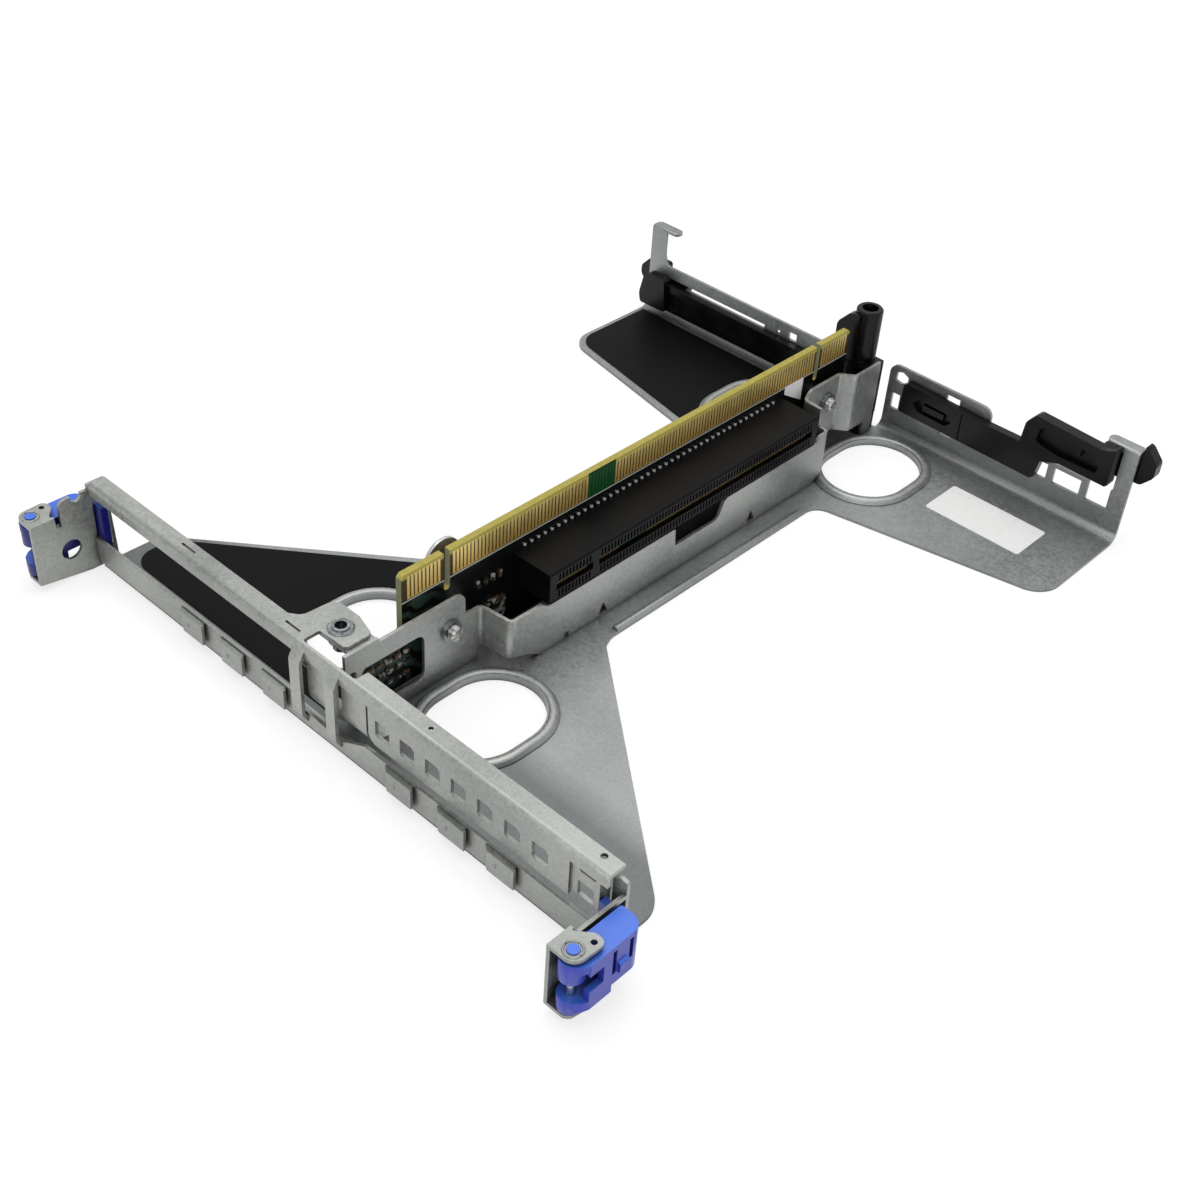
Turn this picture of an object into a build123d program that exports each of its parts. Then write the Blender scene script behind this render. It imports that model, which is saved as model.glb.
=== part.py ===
from build123d import *
from math import cos, radians, sin
import os

os.makedirs("parts", exist_ok=True)

# Low-profile dual-slot riser card in its steel cage, shown edge fingers up.
# X runs along the card bracket frame, Y along the riser board away from the frame, Z up.
# Working frame: x = 0 on the board's right face, y = 0 at the board's finger end,
# z = 0 on top of the base plate. Every piece is shifted by ORIGIN when it is saved.

# Driving sizes of the sheet metal
SHEET = 0.8
BEND = 1.2
FIT = 0.05
SEAT = 0.2

# Riser board
BOARD_T = 1.57
BOARD_LEN = 144.0
BOARD_TOP = 28.4
BOARD_BOTTOM = 1.0
TAIL_LEN = 13.0
TAIL_TOP = 14.5
KEY_1 = (11.1, 12.7)
KEY_2 = (BOARD_LEN - 13.1, BOARD_LEN - 11.7)
KEY_DEPTH = 8.6
FINGER_PITCH = 1.0
FINGER_W = 0.65
FINGER_LEN = 5.6
FINGER_DROP = 0.7
FINGER_T = 0.05

# Card connectors, standard 16-lane bodies
CONN_LEN = 89.0
CONN_DEEP = 11.25
CONN_HIGH = 7.5
CONN_Y = 29.9
CONN_Z = 11.8
LEFT_CONN_Z = 5.8
CONN_SLOT = 1.8
CONN_SLOT_DEEP = 8.25
CONN_KEY_Y = 13.7
CONN_KEY_W = 1.9
CONN_END_WALL = 1.9
PIN_PITCH = 2.0
SLIT_W = 0.45
SLIT_HIGH = 1.7
SLIT_DEEP = 0.6

# Base plate outline, right half
PLATE_FRONT = -20.5
WING_X = 74.5
WING_TIP_Y = -6.0
SPINE_X = 17.5
FRONT_INNER_Y = 41.0
REAR_INNER_Y = BOARD_LEN - 30.3
REAR_WING_Y = BOARD_LEN - 19.0
REAR_WING_X = 74.0
FLANGE_Y = BOARD_LEN + 11.0
FLANGE_BEND = 2.5
RING_X = 17.8
RING_FRONT_Y = 5.8
RING_W = 21.0
RING_L = 26.4
BEAD_W = 2.6
BEAD_H = 0.9
HEM_R = 0.9

# Rear flange
FLANGE_IN_X = 6.6
FLANGE_OUT_X = 74.0
PANEL_OUT_X = 36.2
RIGHT_FLANGE_TOP = 17.8
LEFT_FLANGE_TOP = 14.3
ARM_IN_X = 70.2
ARM_TOP = 24.4
HOOK_IN_X = 65.4
HOOK_DEEP = 3.2
RAIL_TOP_Z = 12.0
WINDOW_SILL = 6.8

# Insulating film
FILM_T = 0.25
FILM_EDGE = 1.3
FILM_FRONT_Y = -15.5
FILM_CLEAR = 0.5
FILM_RIM_X = 0.2
FILM_RIM_Y = 0.3
FILM_IN_X = RING_X - RING_W / 2 - BEAD_W - FILM_CLEAR - FILM_RIM_X
FILM_BACK_Y = FLANGE_Y - FLANGE_BEND - 0.4
RING_REAR_Y = FILM_BACK_Y - FILM_RIM_Y - FILM_CLEAR - BEAD_W - RING_L / 2

# Slot wall beside the board
WALL_NEAR_X = 3.3
WALL_FAR_X = 11.4
WALL_FRONT_Y = -17.0
JOG_1_Y = 18.9
JOG_2_Y = CONN_Y + CONN_LEN + 5.1
REAR_BEND_Y = BOARD_LEN - 6.2
REAR_OUT_X = 6.6
REAR_OUT_Y = BOARD_LEN - 3.8
WALL_END_Y = BOARD_LEN + 6.0
NOTCH_Y = CONN_Y + 39.1
WALL_NEAR_TOP = 19.2
WALL_REAR_TOP = 19.7
SCREW_1 = (9.7, 12.0)
SCREW_2 = (BOARD_LEN - 10.9, 13.9)
SCREW_HEAD_R = 2.4
SCREW_HEAD_H = 1.5
SCREW_R = 1.5
SCREW_TIP = 2.4
STANDOFF_R = 2.7
STANDOFF_NECK_R = 2.1
COLLAR_R = 2.4
COLLAR_H = 0.9
WALL_RIVET_X = 7.6
WALL_RIVET_R = 1.2
WALL_RIVET_YS = (37.0, 60.0, 82.0, JOG_2_Y - 16.0)

# Card bracket frame
FACE_Y = -21.3
RAIL_Z = 20.9
RAIL_BACK_Y = -17.0
SILL_Z = 7.0
LINTEL_Z = 18.1
EAR_X = 76.0
EAR_FRONT_Y = -35.4
EAR_BACK_Y = -16.2
EAR_TOP = 19.4
EAR_LOW_TOP = 13.8
LUG_Z = 15.3
LOW_LUG_Z = 1.0
POST_1 = (-6.6, -3.5)
POST_2 = (3.9, 6.6)
CENTRE_END_X = 13.2
TAB_X = (-11.2, 2.0)
TAB_BACK_Y = -7.6
NUT_X = -3.3
NUT_Y = -12.4
NUT_R = 2.7
NUT_BORE_R = 1.25
CLIP_CENTRES = (-40.0, -26.9, -13.6, 23.5, 37.8, 50.6)
CLIP_LEN = 8.2
CLIP_OUT = 1.2
POST_OUT = 1.4
FRAME_RIVET_XS = (-62.0, -49.0, -9.0, 16.0, 44.0, 66.0)
FRAME_RIVET_R = 0.7
FRAME_RIVET_Y = -18.9

# Slot blank
BLANK_X0 = 13.7
BLANK_X1 = 72.6
BLANK_BOTTOM = 8.4
BLANK_TOP = 19.6
BLANK_STEP_X = 65.9
BLANK_TAB_Y = -17.2
WINDOW_COUNT = 7
WINDOW_PITCH = 6.87
WINDOW_W = 3.9
WINDOW_H = 4.1
WINDOW_X = 17.7
WINDOW_Z = 12.9

# Latches
PIVOT_X = 79.0
PIVOT_Y = -33.1
HUB_R = 2.4
TRUNNION_R = 1.15
LATCH_OUT_X = 82.6
LATCH_IN_X = 77.2
LATCH_WALL = 1.3
LATCH_BACK_Y = -19.6
LATCH_BLOCK_Y = -28.0
LATCH_TOP = 14.6
LATCH_LOW = 5.0
LATCH_BOTTOM = 2.1
FINGER_TIP_X = 72.9
FINGER_Y = (-20.3, -18.7)
FINGER_LOW = 3.4
LEFT_FINGER_TOP = 15.2
RIGHT_FINGER_TOP = 12.4
LATCH_PIN_R = 0.8

# Guide post
POST_X = 0.7
POST_Y = BOARD_LEN + 6.2
POST_R = 3.3
POST_BORE_R = 2.0
POST_TOP = 32.3
POST_BORE_DEEP = 14.0

# Card retainers in the rear flange
RET_FRONT_Y = FLANGE_Y - 2.4
RET_BACK_Y = FLANGE_Y - 0.2
KNOB_BACK_Y = FLANGE_Y + 4.6
KNOB_OUT_X = 78.0

# Labels
LABEL_X = 48.5
LABEL_Y = BOARD_LEN - 4.7
LABEL_W = 25.8
LABEL_L = 12.5
LABEL_T = 0.1

# The origin lies under the middle of the whole cage
FRONT_REACH = EAR_FRONT_Y
REAR_REACH = KNOB_BACK_Y
ORIGIN = Location((0, -(FRONT_REACH + REAR_REACH) / 2, SHEET))

FACE_IN = FACE_Y + SHEET
CONN_MID_Z = CONN_Z + CONN_HIGH / 2
FAR = 400.0
SMALL_RADIUS = 1.3
NIP = 0.6
STUD_SIDES = 14


def box(x0, x1, y0, y1, z0, z1):
    """A box between two corners."""
    size = (x1 - x0, y1 - y0, z1 - z0)
    centre = ((x0 + x1) / 2, (y0 + y1) / 2, (z0 + z1) / 2)
    return Pos(*centre) * Box(*size)


def rounded(points, radii):
    """A flat face from corner points, each corner eased by its own radius (0 keeps it sharp).

    Corners under SMALL_RADIUS are nipped off flat, which is all that shows at their size.
    """
    face = make_face(Polyline(*points, close=True))
    for point, radius in zip(points, radii):
        if radius > 0:
            corner = min(face.vertices(), key=lambda v: (Vector(v) - Vector(*point, 0)).length)
            face = fillet(corner, radius) if radius >= SMALL_RADIUS else chamfer(corner, NIP * radius)
    return face


def plate_of(points, radii, z0, z1):
    """A flat sheet piece seen from above."""
    return Pos(0, 0, z0) * extrude(rounded(points, radii), amount=z1 - z0)


def facing_y(points, radii, y0, y1):
    """An upright sheet piece whose outline is given in X and Z."""
    face = Plane.XZ * rounded(points, radii)
    return Pos(0, y1, 0) * extrude(face, amount=y1 - y0, dir=(0, -1, 0))


def facing_x(points, radii, x0, x1):
    """An upright sheet piece whose outline is given in Y and Z."""
    face = Plane.YZ * rounded(points, radii)
    return Pos(x0, 0, 0) * extrude(face, amount=x1 - x0, dir=(1, 0, 0))


def stud(radius, z0, z1, x, y):
    """A small many-sided upright stud."""
    return Pos(x, y, z0) * extrude(RegularPolygon(radius, STUD_SIDES), amount=z1 - z0)


def rod_x(radius, x0, x1, y, z):
    """A round bar along X."""
    return Pos((x0 + x1) / 2, y, z) * Rot(0, 90, 0) * Cylinder(radius, x1 - x0)


def rod_y(radius, y0, y1, x, z):
    """A round bar along Y."""
    return Pos(x, (y0 + y1) / 2, z) * Rot(90, 0, 0) * Cylinder(radius, y1 - y0)


def rod_z(radius, z0, z1, x, y):
    """A round bar along Z."""
    return Pos(x, y, (z0 + z1) / 2) * Cylinder(radius, z1 - z0)


def flipped(piece):
    """The same piece on the other side of the board."""
    return mirror(piece, about=Plane.YZ)


def save(name, *solids):
    """Writes one named node at its place in the finished frame."""
    pieces = []
    for solid in solids:
        pieces.extend(ORIGIN * one for one in solid.solids())
    shape = pieces[0] if len(pieces) == 1 else Compound(children=pieces)
    export_step(shape, f"parts/{name}.step")


def ring_area(y, margin, z0, z1):
    """The oval of a finger ring on the right half, grown by a margin."""
    oval = SlotOverall(RING_L + 2 * margin, RING_W + 2 * margin, rotation=90)
    return Pos(RING_X, y, z0) * extrude(oval, amount=z1 - z0)


def half_plate():
    """One half of the base plate with its two wings, finger rings and hem bead."""
    sheet = plate_of(
        [
            (0, PLATE_FRONT),
            (WING_X, PLATE_FRONT),
            (WING_X, WING_TIP_Y),
            (SPINE_X + 1.2, FRONT_INNER_Y - 1.0),
            (SPINE_X, FRONT_INNER_Y + 2.0),
            (SPINE_X, REAR_INNER_Y),
            (REAR_WING_X, REAR_WING_Y),
            (REAR_WING_X, FLANGE_Y - FLANGE_BEND),
            (0, FLANGE_Y - FLANGE_BEND),
        ],
        [0, 0, 7.0, 1.0, 1.0, 4.0, 7.0, 0, 0],
        -SHEET,
        0,
    )
    sheet += rod_y(HEM_R, FRONT_INNER_Y + 4, REAR_INNER_Y - 6, SPINE_X - HEM_R, -0.2)
    for y in (RING_FRONT_Y, RING_REAR_Y):
        bead = ring_area(y, BEAD_W, 0, BEAD_H)
        sheet += chamfer(bead.edges().group_by(Axis.Z)[-1], 0.65)
        sheet -= ring_area(y, 0, -5, 5)
    return sheet - box(-1, FAR, -FAR, FAR, -9, -SHEET)


def flange_strip(outline, radii):
    """The bent-up rear flange, cut to an outline given in X and Z."""
    mid = FLANGE_Y + SHEET / 2
    path = FilletPolyline(
        (FLANGE_Y - FLANGE_BEND - 0.5, -SHEET / 2),
        (mid, -SHEET / 2),
        (mid, ARM_TOP + 2),
        radius=FLANGE_BEND,
    )
    profile = Plane.YZ * trace(path, line_width=SHEET)
    strip = extrude(profile, amount=FAR / 4, dir=(1, 0, 0))
    return strip & facing_y(outline, radii, FLANGE_Y - 9, FLANGE_Y + 3)


def hook(bend=1.2):
    """The flap bent back from the top of a flange arm."""
    flap = plate_of(
        [
            (HOOK_IN_X, FLANGE_Y + 0.1),
            (FLANGE_OUT_X, FLANGE_Y + 0.1),
            (FLANGE_OUT_X, FLANGE_Y + HOOK_DEEP),
            (HOOK_IN_X, FLANGE_Y + HOOK_DEEP),
        ],
        [1.4, 0, bend, 1.4],
        ARM_TOP - SHEET,
        ARM_TOP,
    )
    web = box(ARM_IN_X, FLANGE_OUT_X, FLANGE_Y, FLANGE_Y + SHEET, ARM_TOP - 3, ARM_TOP)
    edge = [e for e in (web + flap).edges().filter_by(Axis.X) if e.center().Z > ARM_TOP - 0.1]
    edge = [e for e in edge if e.center().Y < FLANGE_Y + 0.05]
    return fillet(edge, 0.7) if edge else web + flap


def right_flange():
    """Right rear flange with the panel, its holes, three windows and the hook arm."""
    top = RIGHT_FLANGE_TOP
    strip = flange_strip(
        [
            (FLANGE_IN_X, -5),
            (FLANGE_IN_X, top),
            (PANEL_OUT_X, top),
            (PANEL_OUT_X, RAIL_TOP_Z),
            (ARM_IN_X, RAIL_TOP_Z),
            (ARM_IN_X, ARM_TOP - 0.5),
            (FLANGE_OUT_X, ARM_TOP - 0.5),
            (FLANGE_OUT_X, -5),
        ],
        [0, 2.5, 2.6, 1.0, 1.0, 0, 0, 0],
    )
    cutters = [
        facing_y(
            [(8.5, 13.6), (8.7, 16.0), (10.4, 16.5), (12.1, 15.7), (12.1, 14.4), (10.6, 13.2)],
            [0.3] * 6,
            FLANGE_Y - 1,
            FLANGE_Y + 3,
        ),
        box(8.3, 10.7, FLANGE_Y - 1, FLANGE_Y + 3, 5.6, 10.0),
        box(23.5, 27.3, FLANGE_Y - 1, FLANGE_Y + 3, 13.0, 16.4),
        box(23.2, 26.9, FLANGE_Y - 1, FLANGE_Y + 3, 5.0, 6.6),
        box(47.0, 53.4, FLANGE_Y - 1, FLANGE_Y + 3, WINDOW_SILL, RAIL_TOP_Z - 1),
        box(55.2, 62.4, FLANGE_Y - 1, FLANGE_Y + 3, WINDOW_SILL, RAIL_TOP_Z - 1),
        box(64.2, ARM_IN_X - 0.4, FLANGE_Y - 1, FLANGE_Y + 3, WINDOW_SILL, RAIL_TOP_Z + 1),
    ]
    for cutter in cutters:
        strip -= cutter
    return strip + hook()


def left_flange():
    """Left rear flange: one long window, a small hole and the hook arm."""
    top = LEFT_FLANGE_TOP
    strip = flange_strip(
        [
            (FLANGE_IN_X, -5),
            (FLANGE_IN_X, top),
            (ARM_IN_X - 2.0, top),
            (ARM_IN_X - 1.2, top + 3),
            (ARM_IN_X - 1.2, ARM_TOP - 0.5),
            (FLANGE_OUT_X, ARM_TOP - 0.5),
            (FLANGE_OUT_X, -5),
        ],
        [0, 2.0, 1.5, 0.8, 0, 0, 0],
    )
    strip -= box(33.2, ARM_IN_X - 3.6, FLANGE_Y - 1, FLANGE_Y + 3, 10.0, 11.2)
    strip -= box(60.4, 69.4, FLANGE_Y - 1, FLANGE_Y + 3, 4.2, 10.2)
    strip -= box(22.6, 25.2, FLANGE_Y - 1, FLANGE_Y + 3, 10.4, 12.6)
    strip -= box(28.0, 29.2, FLANGE_Y - 1, FLANGE_Y + 3, 10.6, 11.6)
    return flipped(strip + hook())


def base_plate():
    """The base plate, both halves and both rear flanges in one sheet."""
    half = half_plate()
    return half + flipped(half) + right_flange() + left_flange()


def front_left_film():
    """Black insulating film on the front left wing, cut round the finger ring."""
    slope = (FRONT_INNER_Y - WING_TIP_Y) / (WING_X - SPINE_X)
    edge = FILM_EDGE * 1.3
    film = plate_of(
        [
            (-FILM_IN_X, FILM_FRONT_Y),
            (-WING_X + 3.0, FILM_FRONT_Y),
            (-WING_X + 3.0, WING_TIP_Y - edge + 3.0 * slope),
            (-SPINE_X - FILM_EDGE, FRONT_INNER_Y - edge - 2.0),
            (-FILM_IN_X, FRONT_INNER_Y - edge - 2.0),
        ],
        [0, 5.0, 3.5, 0, 0],
        0,
        FILM_T,
    )
    return film - flipped(ring_area(RING_FRONT_Y, BEAD_W + FILM_CLEAR, -1, 2))


def rear_left_film():
    """Black insulating film on the rear left wing, up to the rear flange."""
    film = plate_of(
        [
            (-6.8, REAR_INNER_Y - 1.0),
            (-SPINE_X - 3, REAR_INNER_Y + 2.6),
            (-REAR_WING_X + FILM_EDGE, REAR_WING_Y + 1.6),
            (-REAR_WING_X + FILM_EDGE, FILM_BACK_Y),
            (-6.8, FILM_BACK_Y),
        ],
        [0, 0, 6.0, 0, 0],
        0,
        FILM_T,
    )
    return film - flipped(ring_area(RING_REAR_Y, BEAD_W + FILM_CLEAR, -1, 2))


def slot_wall():
    """The folded carrier wall: it steps out round the connector and back to the board's rear."""
    c = SHEET / 2
    path = FilletPolyline(
        (WALL_NEAR_X - c, WALL_FRONT_Y),
        (WALL_NEAR_X - c, JOG_1_Y - c),
        (WALL_FAR_X - c, JOG_1_Y + c),
        (WALL_FAR_X - c, JOG_2_Y),
        (WALL_NEAR_X - c, JOG_2_Y + c),
        (WALL_NEAR_X - c, REAR_BEND_Y),
        (REAR_OUT_X - c, REAR_OUT_Y),
        (REAR_OUT_X - c, WALL_END_Y),
        radius=BEND,
    )
    wall = extrude(trace(path, line_width=SHEET), amount=RAIL_Z - SHEET)
    low_x = WALL_NEAR_X + 5
    wide = (-9, 30)
    cuts = [
        ([(-8.6, WALL_NEAR_TOP), (11.8, WALL_NEAR_TOP), (11.8, 30), (-8.6, 30)], [0, 0, 0, 0], *wide),
        (
            [
                (11.0, WALL_NEAR_TOP),
                (12.4, WALL_NEAR_TOP),
                (13.8, 18.2),
                (14.0, 13.9),
                (14.6, 13.3),
                (JOG_1_Y - 2, 13.3),
                (JOG_1_Y - 2, 30),
                (11.0, 30),
            ],
            [0, 0.9, 0.9, 0.3, 0.3, 0, 0, 0],
            *wide,
        ),
        (
            [
                (JOG_1_Y - 3, 13.2),
                (CONN_Y - 2, 13.0),
                (CONN_Y - 0.4, CONN_Z),
                (NOTCH_Y - 3, CONN_Z),
                (NOTCH_Y - 3, 30),
                (JOG_1_Y - 3, 30),
            ],
            [0] * 6,
            *wide,
        ),
        (
            [
                (NOTCH_Y - 4, CONN_Z),
                (NOTCH_Y, CONN_Z),
                (NOTCH_Y + 0.4, 7),
                (NOTCH_Y + 15.0, 7),
                (NOTCH_Y + 17.0, CONN_Z),
                (NOTCH_Y + 21, CONN_Z),
                (NOTCH_Y + 21, 30),
                (NOTCH_Y - 4, 30),
            ],
            [0, 0.6, 0.5, 1.6, 1.2, 0, 0, 0],
            *wide,
        ),
        (
            [
                (NOTCH_Y + 20, CONN_Z),
                (JOG_2_Y - 4.7, CONN_Z),
                (JOG_2_Y - 3.1, 13.2),
                (JOG_2_Y - 1, 13.2),
                (JOG_2_Y - 1, 30),
                (NOTCH_Y + 20, 30),
            ],
            [0] * 6,
            *wide,
        ),
        ([(-19, -1), (-14.4, -1), (-14.4, 15.4), (-19, 15.4)], [0, 0, 1.0, 0], *wide),
        (
            [
                (JOG_2_Y - 2, 13.2),
                (JOG_2_Y + 3, 13.2),
                (JOG_2_Y + 3, 30),
                (JOG_2_Y - 2, 30),
            ],
            [0] * 4,
            low_x,
            30,
        ),
        (
            [
                (JOG_2_Y - 1, WALL_REAR_TOP - 1.8),
                (JOG_2_Y + 1.0, WALL_REAR_TOP - 1.8),
                (JOG_2_Y + 2.2, WALL_REAR_TOP),
                (FAR, WALL_REAR_TOP),
                (FAR, 30),
                (JOG_2_Y - 1, 30),
            ],
            [0, 0.8, 1.2, 0, 0, 0],
            *wide,
        ),
        ([(-13.0, 2.8), (2.9, 2.8), (2.9, 14.7), (-13.0, 14.7)], [1.2, 2.4, 2.0, 1.2], -9, 8),
        ([(16.0, -1), (17.6, 3.3), (JOG_1_Y + 1, 3.6), (24, 2.2), (29.2, -1)], [0, 0.8, 0.4, 1.5, 0], *wide),
        ([(34.6, -1), (34.6, 1.6), (36.2, 1.6), (36.2, -1)], [0, 0.4, 0.4, 0], *wide),
        ([(45.2, 0.5), (46.6, 3.6), (48.2, 0.5)], [0.2] * 3, *wide),
        ([(JOG_2_Y - 29.0, 0.5), (JOG_2_Y - 27.6, 3.6), (JOG_2_Y - 26.0, 0.5)], [0.2] * 3, *wide),
        (
            [
                (JOG_2_Y - 6, -1),
                (JOG_2_Y + 1, 2.9),
                (JOG_2_Y + 3, 4.0),
                (WALL_END_Y - 3.4, 4.0),
                (WALL_END_Y - 3.4, -1),
            ],
            [0, 0.5, 0, 0.5, 0],
            *wide,
        ),
    ]
    for points, radii, x0, x1 in cuts:
        wall -= facing_x(points, radii, x0, x1)
    wall -= rod_x(STANDOFF_NECK_R, 0, 9, *SCREW_1)
    wall -= rod_x(STANDOFF_NECK_R, 0, 9, *SCREW_2)
    foot = box(5.4, WALL_FAR_X - SHEET / 2, 50, 92, 0, SHEET)
    foot += box(5.4, WALL_FAR_X - SHEET / 2, 30, 44, 0, SHEET)
    foot += box(5.4, WALL_FAR_X - SHEET / 2, JOG_2_Y - 24, JOG_2_Y - 8, 0, SHEET)
    for y in WALL_RIVET_YS:
        foot -= rod_z(WALL_RIVET_R, -1, 2, WALL_RIVET_X, y)
    ledge = plate_of(
        [
            (TAB_X[0] + 4.0, TAB_BACK_Y - 8.0),
            (WALL_NEAR_X - SHEET / 2, TAB_BACK_Y - 8.0),
            (WALL_NEAR_X - SHEET / 2, TAB_BACK_Y - 1.2),
            (TAB_X[0] + 4.0, TAB_BACK_Y - 1.2),
        ],
        [1.5, 0, 0, 1.5],
        RAIL_Z - 2 * SHEET,
        RAIL_Z - SHEET,
    )
    ledge -= rod_z(NUT_BORE_R + 0.5, 0, 30, NUT_X, NUT_Y)
    return wall + foot + ledge


def wall_rivets():
    """Low domed rivets that hold the wall's foot to the base plate."""
    rivets = []
    for y in WALL_RIVET_YS:
        shank = stud(WALL_RIVET_R, 0, SHEET, WALL_RIVET_X, y)
        head = stud(WALL_RIVET_R + 0.9, SHEET, SHEET + 0.6, WALL_RIVET_X, y)
        rivets.append(shank + chamfer(head.edges().group_by(Axis.Z)[-1], 0.35))
    return rivets


def clip(centre):
    """One spring contact louvred out of the lower rail: closed on its left, open on its right."""
    c = SHEET * 0.4
    x0 = centre - CLIP_LEN / 2
    x1 = centre + CLIP_LEN / 2
    front = FACE_Y - CLIP_OUT + c
    path = FilletPolyline((x0, FACE_Y + c), (x0 + 1.5, front), (x1, front), radius=0.7)
    louvre = Pos(0, 0, 1.7) * extrude(trace(path, line_width=2 * c), amount=4.9)
    shelf = plate_of(
        [(x0 + 0.6, FACE_Y + 0.2), (x0 + 1.7, front), (x1 - 0.5, front), (x1 - 0.5, FACE_Y + 0.2)],
        [0] * 4,
        6.0,
        6.6,
    )
    dimple = extrude(Plane.XZ * Rectangle(0.9, 0.9), amount=c + 0.2, taper=25)
    return louvre + shelf + Pos(centre - 0.6, front, 4.2) * dimple


def scoop(x0, x1, z_bend, radius):
    """The guide sheet behind a centre opening: it drops from the lintel and curls back."""
    c = SHEET / 2
    y = FACE_IN + c
    path = FilletPolyline(
        (y, LINTEL_Z + 1.5),
        (y, z_bend - radius),
        (y + radius + 0.5, z_bend - radius),
        radius=radius,
    )
    sheet = extrude(Plane.YZ * trace(path, line_width=SHEET), amount=x1 - x0, dir=(1, 0, 0))
    return Pos(x0, 0, 0) * sheet


def ear(top_outline, top_radii, window_top):
    """One end ear: upright plate, two pivot lugs and the window for the latch finger."""
    x0 = EAR_X - SHEET
    lug_top = LUG_Z + SHEET
    front = [(EAR_FRONT_Y, LOW_LUG_Z), (EAR_FRONT_Y, lug_top), (-29.8, lug_top)]
    plate = facing_x(
        front + top_outline + [(EAR_BACK_Y, -SHEET), (-23.0, -SHEET)],
        [0.6, 0, 0] + top_radii + [0, 0],
        x0,
        EAR_X,
    )
    plate -= box(x0 - 1, EAR_X + 1, FINGER_Y[0] - 0.4, EAR_BACK_Y - 0.9, FINGER_LOW - 0.5, window_top)
    plate -= rod_x(2.4, x0 - 1, EAR_X + 1, -27.0, 6.6)
    upper = plate_of(
        [(x0, EAR_FRONT_Y), (81.5, EAR_FRONT_Y), (81.8, -28.1), (79.2, -27.9), (76.4, -30.3), (x0, -30.3)],
        [0, 2.6, 1.4, 0.8, 0.6, 0],
        LUG_Z,
        lug_top,
    )
    upper -= rod_z(0.6, 0, 30, 80.3, -29.6)
    lower = plate_of(
        [(x0, EAR_FRONT_Y), (80.6, EAR_FRONT_Y), (81.4, -30.4), (x0, -29.6)],
        [0, 1.8, 2.2, 0],
        LOW_LUG_Z,
        LOW_LUG_Z + SHEET,
    )
    body = plate + upper + lower
    return body - rod_z(TRUNNION_R + FIT, -5, 30, PIVOT_X, PIVOT_Y)


def right_ear():
    """Right end ear, low topped, with a return flange behind the latch finger."""
    outline = [(-29.6, 14.4), (-28.6, EAR_LOW_TOP), (EAR_BACK_Y, EAR_LOW_TOP)]
    plate = ear(outline, [0.4, 0.4, 0.5], RIGHT_FINGER_TOP + 0.5)
    flange = facing_y(
        [
            (72.8, 2.0),
            (EAR_X, 2.0),
            (EAR_X, EAR_LOW_TOP + 2.6),
            (74.2, EAR_LOW_TOP + 3.0),
            (72.8, EAR_LOW_TOP + 2.0),
        ],
        [0.5, 0, 0.4, 0.5, 0.5],
        EAR_BACK_Y - SHEET,
        EAR_BACK_Y,
    )
    return plate + flange


def left_ear():
    """Left end ear: tall top with a dip, tied to the end of the top rail."""
    outline = [(-29.6, 13.2), (-28.4, 13.2), (-28.4, EAR_TOP), (EAR_BACK_Y - 0.8, EAR_TOP)]
    plate = ear(outline, [0.5, 0.5, 1.6, 0], LEFT_FINGER_TOP + 0.6)
    plate -= rod_x(1.3, EAR_X - 3, EAR_X + 1, -24.3, EAR_TOP - 0.3)
    plate += box(EAR_X - SHEET - 0.2, EAR_X, FACE_Y, RAIL_BACK_Y, EAR_TOP - 1.0, RAIL_Z - 0.3)
    return flipped(plate)


def centre_post(x0, x1):
    """A centre post drawn forward of the frame's face, running from lintel to sill."""
    c = SHEET / 2
    back = FACE_Y + c
    front = back - POST_OUT
    path = FilletPolyline((back, 19.7), (front, 17.4), (front, 4.4), (back, 2.2), radius=1.2)
    strap = Plane.YZ * trace(path, line_width=SHEET)
    return Pos(x0, 0, 0) * extrude(strap, amount=x1 - x0, dir=(1, 0, 0))


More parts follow.
